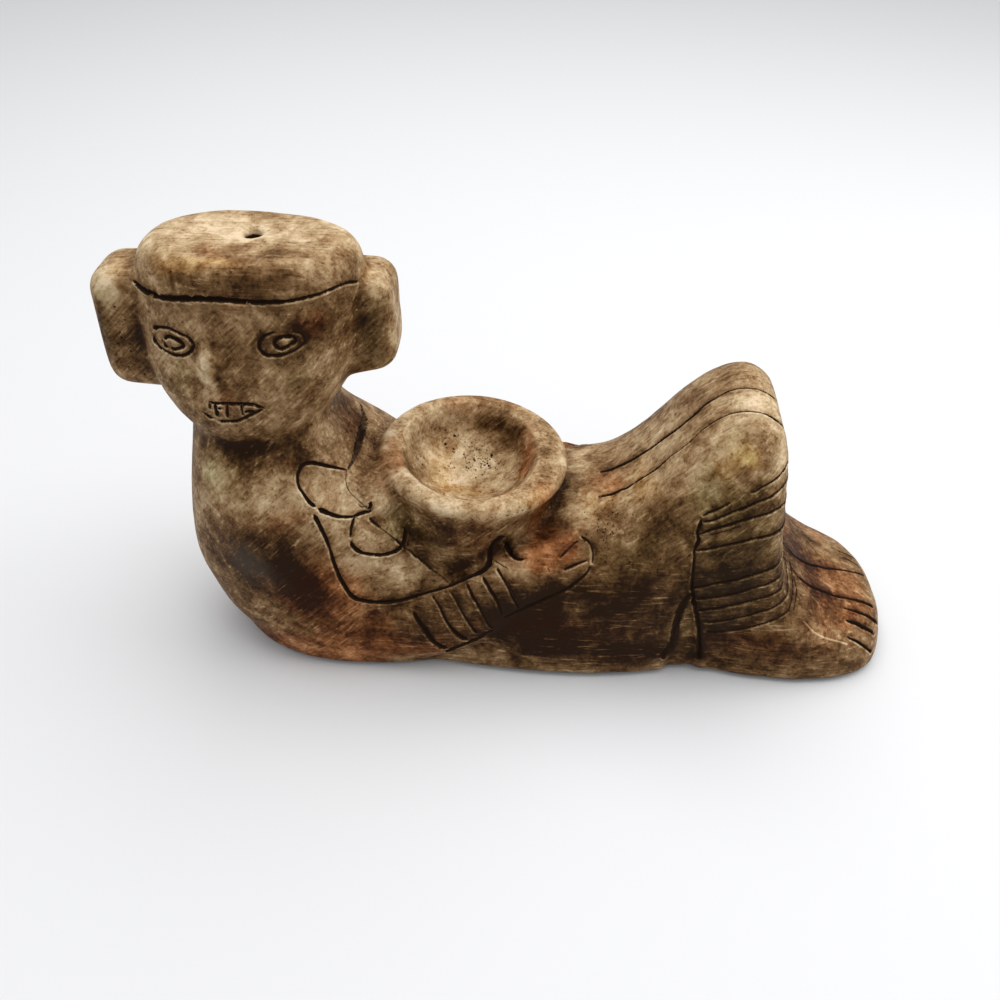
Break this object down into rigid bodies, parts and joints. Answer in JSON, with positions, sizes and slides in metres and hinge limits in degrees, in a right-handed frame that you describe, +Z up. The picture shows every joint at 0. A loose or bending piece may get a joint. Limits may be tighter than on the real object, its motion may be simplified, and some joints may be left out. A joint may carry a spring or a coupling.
{
  "type": "chac mool figurine",
  "caption": "Small fired-clay chac mool that lies back on one side with raised knees, looks sideways and holds a round bowl on its belly.",
  "frame": {"origin": "middle of the figure's bounding box, on the ground under it", "axes": "+X from the head to the toes, -Y the side that the face looks to, +Z up"},
  "size_m": [0.2732, 0.081, 0.1525],
  "materials": {
    "fired_clay": "unglazed fired clay with a brown wash rubbed back and a low wax sheen"
  },
  "bodies": {
    "root": {"chac_mool": "fired_clay"}
  },
  "joints": []
}
